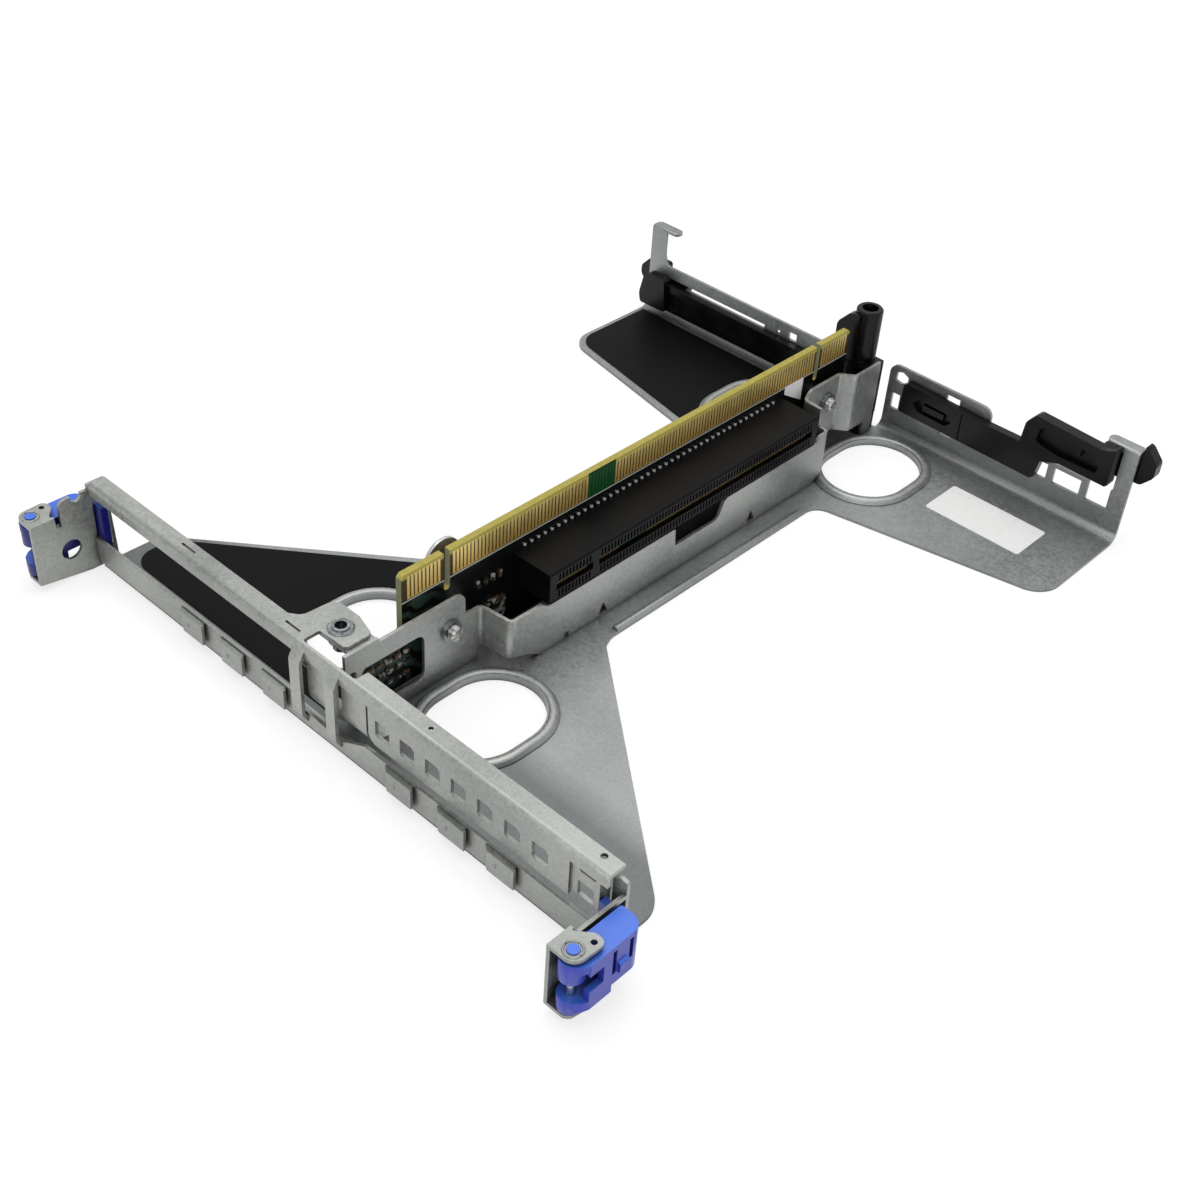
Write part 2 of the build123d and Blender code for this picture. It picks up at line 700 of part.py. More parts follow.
def io_frame():
    """The folded card bracket frame with both slot openings, centre posts, tab and ears."""
    c = SHEET / 2
    end = EAR_X - SHEET
    path = FilletPolyline(
        (RAIL_BACK_Y, RAIL_Z - c),
        (FACE_Y + c, RAIL_Z - c),
        (FACE_Y + c, c),
        (RAIL_BACK_Y - 0.6, c),
        radius=BEND - c,
    )
    channel = extrude(Plane.YZ * trace(path, line_width=SHEET), amount=2 * end, dir=(1, 0, 0))
    frame = channel.moved(Location((-end, 0, 0)))
    front = (FACE_Y - 2, FACE_IN + 0.05)
    left_slot = [(-end, SILL_Z), (POST_1[0], SILL_Z), (POST_1[0], LINTEL_Z), (-end, LINTEL_Z)]
    middle = [
        (POST_1[0] + 0.01, 4.6),
        (POST_2[0], 3.6),
        (POST_2[1], 3.6),
        (CENTRE_END_X, SILL_Z),
        (CENTRE_END_X + 0.01, LINTEL_Z),
        (POST_1[0] - 0.01, LINTEL_Z),
    ]
    right_slot = [(CENTRE_END_X, SILL_Z), (end, SILL_Z), (end, LINTEL_Z), (CENTRE_END_X, LINTEL_Z)]
    frame -= facing_y(left_slot, [0, 2.0, 0, 0], *front)
    frame -= facing_y(middle, [0.6, 0, 0, 0, 0, 0], *front)
    frame -= facing_y(right_slot, [0] * 4, *front)
    frame += centre_post(*POST_1)
    frame += centre_post(*POST_2)
    frame -= plate_of(
        [(-5.4, -20.0), (10.0, -20.0), (10.0, -10), (-5.4, -10)],
        [0.8, 0.8, 0, 0],
        RAIL_Z - 2,
        RAIL_Z + 1,
    )
    tab = plate_of(
        [
            (TAB_X[0] - 2.4, RAIL_BACK_Y - 0.5),
            (TAB_X[0] - 2.4, RAIL_BACK_Y),
            (TAB_X[0], RAIL_BACK_Y + 1.6),
            (TAB_X[0] + 0.6, TAB_BACK_Y),
            (TAB_X[1] - 5.5, TAB_BACK_Y),
            (TAB_X[1], TAB_BACK_Y - 1.6),
            (TAB_X[1], -15.6),
            (-5.4, -15.9),
            (-5.4, RAIL_BACK_Y - 0.5),
        ],
        [0, 0, 1.2, 2.6, 1.5, 1.2, 1.0, 0.4, 0],
        RAIL_Z - SHEET,
        RAIL_Z,
    )
    frame += tab
    frame -= rod_z(NUT_BORE_R + 0.5, 0, 30, NUT_X, NUT_Y)
    frame += scoop(POST_1[1] - 0.4, POST_2[0] + 0.4, 9.6, 4.8)
    frame += scoop(POST_2[1] - 0.4, CENTRE_END_X, 10.8, 5.2)
    for x0 in (-45.2, -12.0):
        frame -= box(x0, x0 + 4.4, -19.0, -18.5, RAIL_Z - 2, RAIL_Z + 1)
    frame -= rod_z(0.5, RAIL_Z - 2, RAIL_Z + 1, 29.1, -18.6)
    frame -= rod_z(0.7, RAIL_Z - 2, RAIL_Z + 1, 71.5, -18.3)
    for centre in CLIP_CENTRES:
        frame += clip(centre)
    frame += right_ear()
    frame += left_ear()
    for x in FRAME_RIVET_XS:
        frame -= rod_z(FRAME_RIVET_R, -1, 2, x, FRAME_RIVET_Y)
    return frame


def frame_rivets():
    """Small flush rivets through the frame's foot into the base plate."""
    rivets = []
    for x in FRAME_RIVET_XS:
        rivets.append(stud(FRAME_RIVET_R, 0, SHEET + 0.25, x, FRAME_RIVET_Y))
    return rivets


def slot_blank():
    """Vented blank in the right slot: a strip with square windows, a joggle and an end tab."""
    y0 = FACE_IN
    strip = facing_y(
        [
            (BLANK_X0, BLANK_BOTTOM),
            (BLANK_STEP_X, BLANK_BOTTOM),
            (BLANK_STEP_X, BLANK_TOP),
            (BLANK_X0, BLANK_TOP),
        ],
        [2.4, 0, 0, 0.6],
        y0,
        y0 + SHEET,
    )
    for i in range(WINDOW_COUNT):
        x = WINDOW_X + i * WINDOW_PITCH
        w = WINDOW_W / 2
        h = WINDOW_H / 2
        low = WINDOW_Z - h
        high = WINDOW_Z + h
        corners = [(x - w, low), (x + w, low), (x + w, high), (x - w, high)]
        strip -= facing_y(corners, [0.5, 0.3, 1.2, 0.3], y0 - 1, y0 + 2)
    step = 0.5
    end = facing_y(
        [
            (BLANK_STEP_X - 0.8, BLANK_BOTTOM + 1.6),
            (BLANK_X1, BLANK_BOTTOM + 1.0),
            (BLANK_X1, BLANK_TOP),
            (BLANK_STEP_X - 0.8, BLANK_TOP),
        ],
        [0, 0, 0, 0],
        y0 + step,
        y0 + step + SHEET,
    )
    end -= facing_y([(67.6, 9.9), (71.4, 9.6), (71.4, 13.2), (67.6, 13.2)], [0.3, 0.3, 0.9, 0.3], y0, y0 + 2)
    end -= facing_y([(67.8, 15.7), (71.6, 15.7), (71.6, 16.5), (67.8, 16.5)], [0.3] * 4, y0, y0 + 2)
    tab = box(BLANK_X1 - SHEET, BLANK_X1, y0 + step, BLANK_TAB_Y, BLANK_BOTTOM + 1.0, BLANK_TOP)
    return strip + end + tab


def latch(finger_top):
    """Right-hand latch: C-shaped body on two hubs, slotted outer wall and bracket finger."""
    back = LATCH_BACK_Y
    inside = LATCH_OUT_X - LATCH_WALL
    nose = [
        (LATCH_IN_X - 0.4, PIVOT_Y + 0.7),
        (PIVOT_X - 1.4, PIVOT_Y - 2.1),
        (PIVOT_X + 1.6, PIVOT_Y - 2.2),
        (LATCH_OUT_X, PIVOT_Y + 0.1),
    ]
    nose_radii = [1.0, 1.6, 1.8, 1.2]
    body = plate_of(
        [(LATCH_IN_X, back), (LATCH_IN_X, LATCH_BLOCK_Y)] + nose + [(LATCH_OUT_X, back)],
        [0.5, 0.5] + nose_radii + [2.8],
        LATCH_TOP - 1.8,
        LATCH_TOP,
    )
    body += plate_of(
        [(LATCH_IN_X, LATCH_BLOCK_Y + 1)] + nose + [(LATCH_OUT_X, LATCH_BLOCK_Y + 1)],
        [0] + nose_radii + [0],
        LATCH_LOW - 1.8,
        LATCH_LOW + 0.4,
    )
    block = plate_of(
        [(LATCH_IN_X, LATCH_BLOCK_Y), (LATCH_OUT_X, LATCH_BLOCK_Y), (LATCH_OUT_X, back), (LATCH_IN_X, back)],
        [0, 0, 2.8, 0.5],
        LATCH_LOW,
        LATCH_TOP,
    )
    hollow = (LATCH_LOW + 1.4, LATCH_TOP - 1.8)
    body += block - box(LATCH_IN_X + 1.2, inside, LATCH_BLOCK_Y - 1, back - 1.4, *hollow)
    body += box(inside, LATCH_OUT_X, PIVOT_Y + 0.6, LATCH_BLOCK_Y + 1, LATCH_LOW, LATCH_TOP)
    body -= box(inside - 1, LATCH_OUT_X + 1, PIVOT_Y - 2, -29.2, 7.8, 11.7)
    for y, z0, z1 in ((-26.7, 7.6, 13.4), (-22.7, 8.6, 13.4)):
        body -= box(inside - 0.2, LATCH_OUT_X + 1, y - 0.45, y + 0.45, z0, z1)
    body += facing_y(
        [(inside + 0.4, 6.8), (LATCH_OUT_X + 0.6, 7.6), (LATCH_OUT_X + 0.6, 9.6), (inside + 0.4, 10.4)],
        [0, 0.4, 0.4, 0],
        -25.8,
        -23.6,
    )
    body += rod_z(HUB_R, 9.8, LATCH_TOP, PIVOT_X, PIVOT_Y)
    body += box(PIVOT_X - 1.2, PIVOT_X + 2.2, PIVOT_Y, PIVOT_Y + 3.2, 11.0, LATCH_TOP - 1)
    body += rod_z(HUB_R, LATCH_BOTTOM, LATCH_LOW + 0.4, PIVOT_X, PIVOT_Y)
    body += rod_z(TRUNNION_R, LATCH_TOP - 1, LUG_Z + SHEET + 0.2, PIVOT_X, PIVOT_Y)
    body += rod_z(TRUNNION_R, LOW_LUG_Z + 0.1, LATCH_BOTTOM + 1, PIVOT_X, PIVOT_Y)
    body += box(FINGER_TIP_X, LATCH_IN_X + 1.0, *FINGER_Y, FINGER_LOW, finger_top)
    return body - latch_pin()


def latch_pin():
    """Steel pin pressed into both hubs of a latch."""
    return rod_z(LATCH_PIN_R, 3.6, 11.2, PIVOT_X, PIVOT_Y)


def riser_board():
    """The riser board with its two key notches, finger end and lower tail."""
    top = BOARD_TOP
    low = top - KEY_DEPTH
    x0 = -BOARD_T
    board = facing_x(
        [
            (-TAIL_LEN, BOARD_BOTTOM),
            (BOARD_LEN, BOARD_BOTTOM),
            (BOARD_LEN, top),
            (0, top),
            (0, TAIL_TOP),
            (-TAIL_LEN, TAIL_TOP),
        ],
        [1.0, 1.0, 1.2, 1.2, 1.0, 1.0],
        x0,
        0,
    )
    for y0, y1 in (KEY_1, KEY_2):
        mid = (y0 + y1) / 2
        board -= box(x0 - 1, 1, y0, y1, low, top + 1)
        board -= rod_x((y1 - y0) / 2, x0 - 1, 1, mid, low)
    for y, z in (SCREW_1, SCREW_2):
        board -= rod_x(SCREW_R, x0 - 1, 1, y, z)
    return board


def finger_groups():
    """Start and end of each run of edge fingers between the board ends and the notches."""
    return ((0.9, KEY_1[0] - 0.4), (KEY_1[1] + 0.4, KEY_2[0] - 0.4), (KEY_2[1] + 0.4, BOARD_LEN - 0.9))


def edge_fingers(x0, x1):
    """Plated edge fingers on one face: runs of bars joined by a thin plating bar at the foot."""
    top = BOARD_TOP - FINGER_DROP
    foot = top - FINGER_LEN
    combs = []
    for start, stop in finger_groups():
        count = int((stop - start) / FINGER_PITCH)
        first = (start + stop) / 2 - (count - 1) * FINGER_PITCH / 2
        points = [(first - FINGER_W / 2, foot)]
        for i in range(count):
            y = first + i * FINGER_PITCH
            points += [(y - FINGER_W / 2, top), (y + FINGER_W / 2, top)]
            if i < count - 1:
                points += [(y + FINGER_W / 2, foot + 0.2), (y + FINGER_PITCH - FINGER_W / 2, foot + 0.2)]
        points.append((first + (count - 1) * FINGER_PITCH + FINGER_W / 2, foot))
        face = Plane.YZ * make_face(Polyline(*points, close=True))
        combs.append(Pos(x0, 0, 0) * extrude(face, amount=x1 - x0, dir=(1, 0, 0)))
    return combs


def connector():
    """Right card connector: slot with its key, two rows of contact slits and end chamfers."""
    y1 = CONN_Y + CONN_LEN
    z1 = CONN_Z + CONN_HIGH
    body = box(0, CONN_DEEP, CONN_Y, y1, CONN_Z, z1)
    body = chamfer(body.edges().filter_by(Axis.Y).group_by(Axis.X)[-1], 0.4)
    key0 = CONN_Y + CONN_KEY_Y - CONN_KEY_W / 2
    key1 = CONN_Y + CONN_KEY_Y + CONN_KEY_W / 2
    floor = CONN_DEEP - CONN_SLOT_DEEP
    runs = ((CONN_Y + CONN_END_WALL, key0), (key1, y1 - CONN_END_WALL))
    for start, stop in runs:
        half = CONN_SLOT / 2
        body -= box(floor, CONN_DEEP + 1, start, stop, CONN_MID_Z - half, CONN_MID_Z + half)
        count = int((stop - start) / FINGER_PITCH)
        mid = (start + stop) / 2
        offset = CONN_SLOT / 2 + 0.35 + SLIT_HIGH / 2
        slits = []
        for side in (-1, 1):
            for spot in GridLocations(1, FINGER_PITCH, 1, count):
                place = Pos(CONN_DEEP, mid, CONN_MID_Z + side * offset) * spot
                slits.append(place * Box(2 * SLIT_DEEP, SLIT_W, SLIT_HIGH))
        body -= slits
    return body


def connector_contacts():
    """Contact springs of the right connector, two strips lining its slot."""
    strips = []
    y1 = CONN_Y + CONN_LEN
    floor = CONN_DEEP - CONN_SLOT_DEEP
    key = CONN_Y + CONN_KEY_Y
    for start, stop in ((CONN_Y + CONN_END_WALL + 0.3, key - 1.2), (key + 1.2, y1 - CONN_END_WALL - 0.3)):
        for side in (-1, 1):
            z = CONN_MID_Z + side * (CONN_SLOT / 2 - 0.1)
            strips.append(box(floor + 0.2, CONN_DEEP - 1.4, start, stop, z - 0.1, z + 0.1))
    return strips


def solder_pins():
    """Connector lead tips standing on the board above the right connector."""
    pins = []
    z = CONN_Z + CONN_HIGH
    count = int((CONN_LEN - 5) / PIN_PITCH)
    first = CONN_Y + (CONN_LEN - (count - 1) * PIN_PITCH) / 2
    for i in range(count):
        y = first + i * PIN_PITCH
        pins.append(box(0, 0.5, y - 0.2, y + 0.2, z, z + 1.3))
    return pins


def board_components():
    """Small surface parts on the board's right face near its finger end and above the wall."""
    chips = []
    for row in range(3):
        for col in range(5):
            y = -8.6 + col * 2.3 + 0.4 * (row % 2)
            z = 4.3 + row * 2.7
            chips.append(box(0, 0.55, y - 0.8, y + 0.8, z - 0.45, z + 0.45))
    chips.append(box(0, 0.9, 14.2, 17.4, 6.0, 8.6))
    chips.append(box(0, 0.9, 22.0, 27.5, 4.6, 10.0))
    for i in range(4):
        y = 20.4 + i * 2.0
        chips.append(box(0, 0.5, y - 0.4, y + 0.4, 15.0, 16.6))
    return chips


def screw(y, z, head_x):
    """A pan-head screw from the left, through the board and its clinch nut, tip standing proud."""
    head = rod_x(SCREW_HEAD_R, head_x - SCREW_HEAD_H, head_x, y, z)
    head = chamfer(head.edges().sort_by(Axis.X)[0], 0.6)
    for turn in (0, 90):
        head -= Pos(head_x - SCREW_HEAD_H, y, z) * Rot(turn, 0, 0) * Box(1.4, 2.6, 0.6)
    shank = rod_x(SCREW_R, head_x, WALL_NEAR_X + SCREW_TIP, y, z)
    return head + chamfer(shank.edges().sort_by(Axis.X)[-1], 0.4)


def standoff(y, z):
    """Clinch nut between board and wall: sleeve, neck through the wall and its outer collar."""
    sleeve = rod_x(STANDOFF_R, 0, WALL_NEAR_X - SHEET, y, z)
    neck = rod_x(STANDOFF_NECK_R, 0, WALL_NEAR_X, y, z)
    collar = rod_x(COLLAR_R, WALL_NEAR_X, WALL_NEAR_X + COLLAR_H, y, z)
    return sleeve + neck + collar - rod_x(SCREW_R, -1, 9, y, z)


def rivet_nut():
    """Threaded rivet nut through the frame tab and the wall ledge under it."""
    r = NUT_BORE_R + 0.5
    nut = rod_z(r, RAIL_Z - 2 * SHEET - 3.2, RAIL_Z, NUT_X, NUT_Y)
    flange = rod_z(NUT_R, RAIL_Z, RAIL_Z + 0.45, NUT_X, NUT_Y)
    nut += chamfer(flange.edges().sort_by(Axis.Z)[-1], 0.3)
    nut += rod_z(NUT_BORE_R + 0.6, RAIL_Z, RAIL_Z + 0.7, NUT_X, NUT_Y)
    swell = rod_z(r + 0.8, RAIL_Z - 2 * SHEET - 1.4, RAIL_Z - 2 * SHEET, NUT_X, NUT_Y)
    return nut + swell - rod_z(NUT_BORE_R, 0, 40, NUT_X, NUT_Y)


def guide_post():
    """Hollow black guide post on its foot block, with the rib that backs the board's end."""
    foot_top = 18.6
    post = rod_z(POST_R, 4.0, POST_TOP, POST_X, POST_Y)
    post = chamfer(post.edges().sort_by(Axis.Z)[-1], 0.35)
    foot = box(POST_X - 4.3, REAR_OUT_X - SHEET, POST_Y - 4.6, POST_Y + 2.8, 4.2, foot_top)
    foot = fillet(foot.edges().filter_by(Axis.Z), 0.8)
    rib = facing_y(
        [(-5.4, 4.2), (POST_X, 4.2), (POST_X, 31.4), (-2.0, 31.4), (-5.4, 27.6)],
        [0.5, 0, 0, 1.0, 1.0],
        POST_Y - 4.2,
        POST_Y - 2.0,
    )
    base = box(-5.4, REAR_OUT_X - SHEET, POST_Y - 4.4, POST_Y + 2.0, 0, 4.4)
    body = post + foot + rib + base
    return body - rod_z(POST_BORE_R, POST_TOP - POST_BORE_DEEP, POST_TOP + 1, POST_X, POST_Y)


def left_stay():
    """Round-topped steel stay screwed to the left of the board, stepped out from its leaf."""
    y0 = 11.6
    y1 = 20.6
    out = -6.4
    shelf = 15.4
    tongue = facing_x([(y0, shelf), (y1, shelf), (y1, 26.2), (y0, 26.2)], [0, 0, 4.4, 4.4], out, out + SHEET)
    step = box(out, -BOARD_T, y0, y1, shelf, shelf + SHEET)
    leaf_in = -BOARD_T - SHEET
    leaf = facing_x(
        [(SCREW_1[0] - 3.4, 7.6), (y1, 7.6), (y1, shelf + SHEET), (SCREW_1[0] - 3.4, shelf + SHEET)],
        [2.0, 2.0, 0, 2.0],
        leaf_in,
        -BOARD_T,
    )
    leaf -= rod_x(SCREW_R, leaf_in - 1, 1, *SCREW_1)
    return tongue + step + leaf


def right_retainer():
    """Right card retainer: slotted slide, raised grip, neck through the flange and thumb knob."""
    y0 = RET_FRONT_Y
    y1 = RET_BACK_Y
    back = FLANGE_Y + SHEET + 0.5
    body = facing_y(
        [(12.3, 7.4), (51.2, 6.9), (52.2, 12.8), (46.4, 15.0), (34.0, 14.9), (12.6, 15.6)],
        [0.8, 1.2, 0.6, 0, 0, 1.0],
        y0,
        y1,
    )
    body -= facing_y(
        [(16.0, 11.2), (17.4, 9.6), (25.8, 9.3), (27.2, 10.8), (25.8, 12.7), (17.4, 13.0)],
        [0.3, 0.6, 0.6, 0.3, 0.6, 0.6],
        y0 - 1,
        y0 + 1.3,
    )
    body += box(18.6, 24.8, y0 + 0.3, y0 + 1.6, 10.3, 11.9)
    body -= box(29.6, 30.1, y0 - 1, y0 + 0.3, 7.6, 14.8)
    grip = facing_y(
        [(46.0, 13.0), (46.7, 21.2), (48.8, 23.9), (65.2, 23.1), (67.0, 23.2), (69.8, 24.4), (69.8, 14.4),
         (57.1, 14.6), (52.2, 12.8)],
        [0, 0.8, 1.4, 0.8, 0.6, 0.6, 1.0, 0, 0],
        y0 - 0.8,
        y1,
    )
    grip -= facing_y(
        [(50.0, 17.4), (50.6, 21.6), (64.2, 20.9), (66.6, 18.8), (66.4, 16.6), (56.0, 16.4)],
        [0.8, 1.0, 1.0, 1.0, 0.6, 0.6],
        y0 - 2,
        y0 + 0.7,
    )
    grip += box(60.9, 61.6, y0 - 0.7, y0 + 1.0, 18.6, 21.4)
    body += grip
    body += box(64.5, 66.6, y1 - 0.6, back + 1.2, 13.4, 21.0)
    body += box(64.5, 73.6, back, back + 1.8, 15.4, 22.0)
    body += box(47.6, 49.8, y1 - 0.6, back + 1.4, 7.6, 10.2)
    body += box(47.6, 49.8, back - 0.2, back + 1.4, 5.4, 10.2)
    body += knob(70.6, 16.0, 25.7)
    return body - box(HOOK_IN_X - 1, FLANGE_OUT_X + 0.3, back - 0.1, FAR, ARM_TOP - SHEET - 0.3, FAR)


def knob(x0, z0, z1):
    """Thumb knob behind the flange arm, rounded on its outer side."""
    back = FLANGE_Y + SHEET + 0.5
    body = facing_y(
        [
            (x0, z0),
            (KNOB_OUT_X - 2.6, z0),
            (KNOB_OUT_X, z0 + 3.0),
            (KNOB_OUT_X, z1 - 3.2),
            (KNOB_OUT_X - 3.0, z1),
            (x0, z1),
        ],
        [0.6, 1.6, 1.8, 1.8, 1.8, 0.8],
        back,
        KNOB_BACK_Y,
    )
    return chamfer(body.edges().group_by(Axis.Y)[-1], 0.5)


def left_retainer():
    """Left card retainer, set lower in its flange than the right one."""
    y0 = RET_FRONT_Y
    y1 = RET_BACK_Y
    back = FLANGE_Y + SHEET + 0.5
    body = facing_y(
        [(12.3, 3.0), (72.4, 2.7), (73.2, 5.2), (72.6, 9.0), (69.0, 10.2), (12.3, 10.0)],
        [0.8, 0.8, 0.8, 0.8, 0.8, 0.8],
        y0,
        y1,
    )
    body -= facing_y([(15.0, 4.8), (66.0, 4.6), (66.0, 8.4), (15.0, 8.2)], [1.0] * 4, y0 - 1, y0 + 0.9)
    body += facing_y(
        [(64.6, 2.9), (73.4, 2.7), (74.0, 5.4), (72.8, 10.6), (71.0, 12.4), (65.4, 12.0)],
        [0.4, 0.8, 0.8, 0.8, 0.8, 0.8],
        y0 - 1.4,
        y0 + 1.0,
    )
    body += box(61.0, 65.6, y1 - 0.6, back + 1.2, 4.6, 9.8)
    body += box(61.0, 73.6, back, back + 1.8, 5.6, 12.0)
    return flipped(body + knob(69.2, 5.0, 13.6))


def part_label():
    """Bare white label on the rear right wing."""
    w = LABEL_W / 2
    h = LABEL_L / 2
    points = [
        (LABEL_X - w, LABEL_Y - h),
        (LABEL_X + w, LABEL_Y - h),
        (LABEL_X + w, LABEL_Y + h),
        (LABEL_X - w, LABEL_Y + h),
    ]
    return plate_of(points, [0.8] * 4, 0, LABEL_T)


def board_label():
    """Bare pale label on the board above the connector's far end."""
    y = CONN_Y + CONN_LEN + 0.9
    points = [(y, 19.8), (y + 7.0, 15.6), (y + 7.0, 21.9), (y, 21.9)]
    return facing_x(points, [0.2] * 4, 0, LABEL_T)


def main():
    save("base_plate", base_plate())
    save("front_left_film", front_left_film())
    save("rear_left_film", rear_left_film())
    save("slot_wall", slot_wall())
    save("wall_rivets", *wall_rivets())
    save("io_frame", io_frame())
    save("frame_rivets", *frame_rivets())
    save("slot_blank", slot_blank())
    save("right_latch", latch(RIGHT_FINGER_TOP))
    save("left_latch", flipped(latch(LEFT_FINGER_TOP)))
    save("right_latch_pin", latch_pin())
    save("left_latch_pin", flipped(latch_pin()))
    save("riser_board", riser_board())
    save("right_edge_fingers", *edge_fingers(0, FINGER_T))
    save("left_edge_fingers", *edge_fingers(-BOARD_T - FINGER_T, -BOARD_T))
    other_face = Location((-BOARD_T, 0, LEFT_CONN_Z - CONN_Z))
    right_connector = connector()
    save("right_connector", right_connector)
    save("left_connector", flipped(right_connector).moved(other_face))
    contacts = connector_contacts()
    save("right_connector_contacts", *contacts)
    save("left_connector_contacts", *[flipped(one).moved(other_face) for one in contacts])
    pins = solder_pins()
    save("right_solder_pins", *pins)
    save("left_solder_pins", *[flipped(one).moved(other_face) for one in pins])
    save("board_components", *board_components())
    save("board_screws", screw(*SCREW_1, -BOARD_T - SHEET), screw(*SCREW_2, -BOARD_T))
    save("board_standoffs", standoff(*SCREW_1), standoff(*SCREW_2))
    save("rivet_nut", rivet_nut())
    save("guide_post", guide_post())
    save("left_stay", left_stay())
    save("right_retainer", right_retainer())
    save("left_retainer", left_retainer())
    save("part_label", part_label())
    save("board_label", board_label())


main()
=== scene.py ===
from math import cos, pi, radians, sin

import bpy
from mathutils import Matrix, Vector


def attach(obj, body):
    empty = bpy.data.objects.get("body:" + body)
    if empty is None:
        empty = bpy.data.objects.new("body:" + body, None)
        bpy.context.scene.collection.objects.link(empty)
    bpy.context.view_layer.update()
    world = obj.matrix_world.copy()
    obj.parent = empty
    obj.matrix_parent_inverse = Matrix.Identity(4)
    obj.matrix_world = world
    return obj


MM = 0.001

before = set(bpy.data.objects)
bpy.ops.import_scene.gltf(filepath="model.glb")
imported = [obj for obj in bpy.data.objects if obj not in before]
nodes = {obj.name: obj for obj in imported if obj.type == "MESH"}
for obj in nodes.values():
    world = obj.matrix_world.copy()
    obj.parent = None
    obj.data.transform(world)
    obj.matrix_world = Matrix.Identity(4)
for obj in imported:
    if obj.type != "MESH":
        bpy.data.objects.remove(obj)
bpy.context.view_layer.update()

# All sizes are in millimetres. Where a finish or a painted shadow changes, measured in the frame:
FRAME_SHADOW_Y = (-54, -62)
GREEN_Y = (-48, -62)
PATCH_Y = (-10.0, -1.5)
PATCH_SOFT = 0.05
FLUX_Z = (20.75, 20.85)
PRINT_FOOT_Z = (22.35, 22.45)
PRINT_TOP_Z = (22.6, 22.7)
BARE_Z = (22.85, 22.95)
FINGER_Z = (24.0, 27.6)
BOARD_EDGE_Z = (27.9, 28.3)

# The added pieces, measured from the board's right face, its finger end and the plate's top. The
# first two values say where that end and that top lie in the frame.
BOARD_END_Y = -62.1
PLATE_TOP_Z = 0.8
RING_X = 17.8
RING_YS = (5.8, 135.5)
RING_W = 21.0
RING_L = 26.4
BEAD_MID = 1.15
BEAD_Z = 0.62
BEAD_R = 1.0
BEAD_FLAT = 0.62
PIVOT_X = 79.0
PIVOT_Y = -33.1
LUG_TOP = 16.1
RIM_D = 3.5
RIM_R = 0.22
SCREWS_YZ = ((9.7, 12.0), (133.1, 13.9))
THREAD_X = 4.5
THREAD_D = 3.1
THREAD_R = 0.16
THREAD_PITCH = 0.42
THREAD_TURNS = 3

# The grey that painted shade and painted shadow on zinc darken towards.
PAINTED_SHADE_ZINC = "#3c3f40"

# Nearly all values of a noise lie between these two.
NOISE_SPAN = (0.3, 0.7)

FLOOR_SIZE = 6000
FLOOR_DROP = 0.05


def linear(code):
    """The linear RGBA of an sRGB hex colour."""
    parts = [int(code[i : i + 2], 16) / 255 for i in (1, 3, 5)]
    return (*[p / 12.92 if p <= 0.04045 else ((p + 0.055) / 1.055) ** 2.4 for p in parts], 1.0)


def scale_for(size):
    """The scale of a pattern whose grains or threads are so many millimetres wide."""
    return 1 / (size * MM)


def fill(tree, node, inputs):
    """Puts values or links on a node's inputs, by name, by number, or in order from a list."""
    for key, value in inputs.items() if isinstance(inputs, dict) else enumerate(inputs):
        if isinstance(value, bpy.types.NodeSocket):
            tree.links.new(value, node.inputs[key])
        else:
            node.inputs[key].default_value = value


def add_node(tree, kind, inputs=(), **settings):
    """Adds a node with its inputs and settings, and gives its outputs.

    A Mix takes its factor on input 0. It takes values on 2 and 3 and gives output 0, or colours on
    6 and 7 and gives output 2. A Map Range's list is its value, its range and the new range.
    """
    node = tree.nodes.new("ShaderNode" + kind)
    for key, value in settings.items():
        setattr(node, key, value)
    fill(tree, node, inputs)
    return node.outputs


def new_material(name):
    """An empty material with its shader and its place on the part in metres."""
    material = bpy.data.materials.new(name)
    material.use_nodes = True
    tree = material.node_tree
    place = add_node(tree, "TexCoord")["Object"]
    return material, tree, tree.nodes["Principled BSDF"], place


